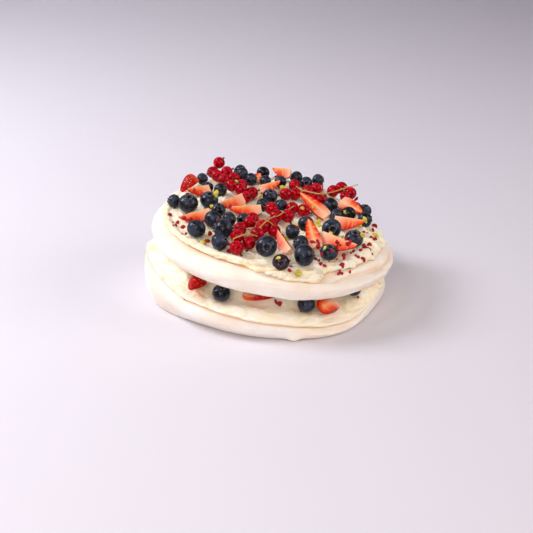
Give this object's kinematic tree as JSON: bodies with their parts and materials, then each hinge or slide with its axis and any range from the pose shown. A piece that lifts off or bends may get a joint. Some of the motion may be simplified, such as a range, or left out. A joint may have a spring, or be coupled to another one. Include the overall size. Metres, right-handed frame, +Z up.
{
  "type": "pavlova",
  "caption": "Two-layer round meringue cake with whipped cream between the rounds and on top, heaped with blueberries, cut strawberries and sprigs of red currants.",
  "frame": {"origin": "middle of the flat base, at the level of the surface it stands on", "axes": "+Z up; -Y is the front, where the gap between the rounds shows fruit; +X is the side where the upper round has settled lower"},
  "size_m": [0.2036, 0.1952, 0.0937],
  "materials": {
    "meringue": "matte",
    "cream": "satin",
    "blueberry": "satin with a dusty bloom",
    "strawberry": "gloss",
    "currant": "high gloss, translucent"
  },
  "bodies": {
    "root": {"meringue_lower": "meringue", "cream_lower": "cream", "meringue_upper": "meringue", "cream_upper": "cream", "blueberry_01": "blueberry", "blueberry_02": "blueberry", "blueberry_03": "blueberry", "blueberry_04": "blueberry", "blueberry_05": "blueberry", "blueberry_06": "blueberry", "blueberry_07": "blueberry", "blueberry_08": "blueberry", "blueberry_09": "blueberry", "blueberry_10": "blueberry", "blueberry_11": "blueberry", "blueberry_12": "blueberry", "blueberry_13": "blueberry", "blueberry_14": "blueberry", "blueberry_15": "blueberry", "blueberry_16": "blueberry", "blueberry_17": "blueberry", "blueberry_18": "blueberry", "blueberry_19": "blueberry", "blueberry_20": "blueberry", "blueberry_21": "blueberry", "blueberry_22": "blueberry", "blueberry_23": "blueberry", "blueberry_24": "blueberry", "blueberry_25": "blueberry", "blueberry_26": "blueberry", "blueberry_27": "blueberry", "blueberry_28": "blueberry", "blueberry_29": "blueberry", "blueberry_30": "blueberry", "blueberry_31": "blueberry", "blueberry_32": "blueberry", "blueberry_33": "blueberry", "blueberry_34": "blueberry", "strawberry_01": "strawberry", "strawberry_02": "strawberry", "strawberry_03": "strawberry", "strawberry_04": "strawberry", "strawberry_05": "strawberry", "strawberry_06": "strawberry", "strawberry_07": "strawberry", "strawberry_08": "strawberry", "strawberry_09": "strawberry", "strawberry_10": "strawberry", "strawberry_11": "strawberry", "strawberry_12": "strawberry", "strawberry_13": "strawberry", "strawberry_14": "strawberry", "currants_back_left": "currant", "currants_front": "currant", "currants_back_right": "currant", "gap_blueberry_1": "blueberry", "gap_blueberry_2": "blueberry", "gap_strawberry_1": "strawberry", "gap_strawberry_2": "strawberry", "gap_strawberry_3": "strawberry"}
  },
  "joints": []
}
